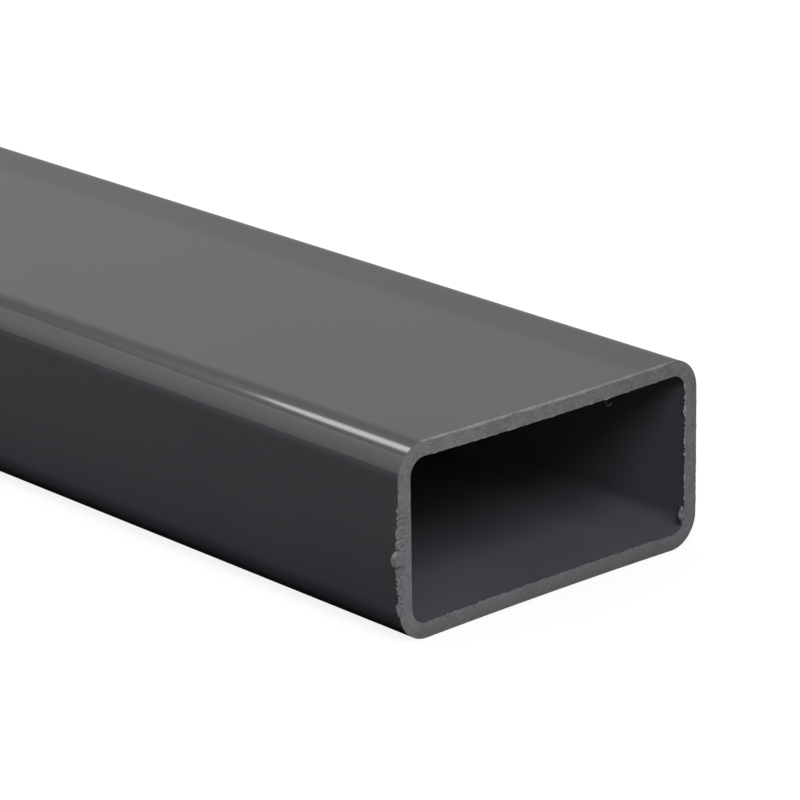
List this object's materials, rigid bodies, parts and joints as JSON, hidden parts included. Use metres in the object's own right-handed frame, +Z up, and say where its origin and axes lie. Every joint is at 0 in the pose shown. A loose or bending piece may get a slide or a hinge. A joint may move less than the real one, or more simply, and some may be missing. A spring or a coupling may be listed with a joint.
{
  "type": "rectangular plastic tube",
  "caption": "Straight rectangular hollow profile in dark grey rigid plastic, with rounded corners and square sawn open ends, lying on a wide wall.",
  "frame": {"origin": "middle of the tube's length and width, on the surface that it lies on", "axes": "+X along the tube to the end that the picture shows, +Y across the wide walls, +Z up through them"},
  "size_m": [1, 0.1, 0.05],
  "materials": {
    "grey_plastic": "satin"
  },
  "bodies": {
    "root": {"tube": "grey_plastic"}
  },
  "joints": []
}
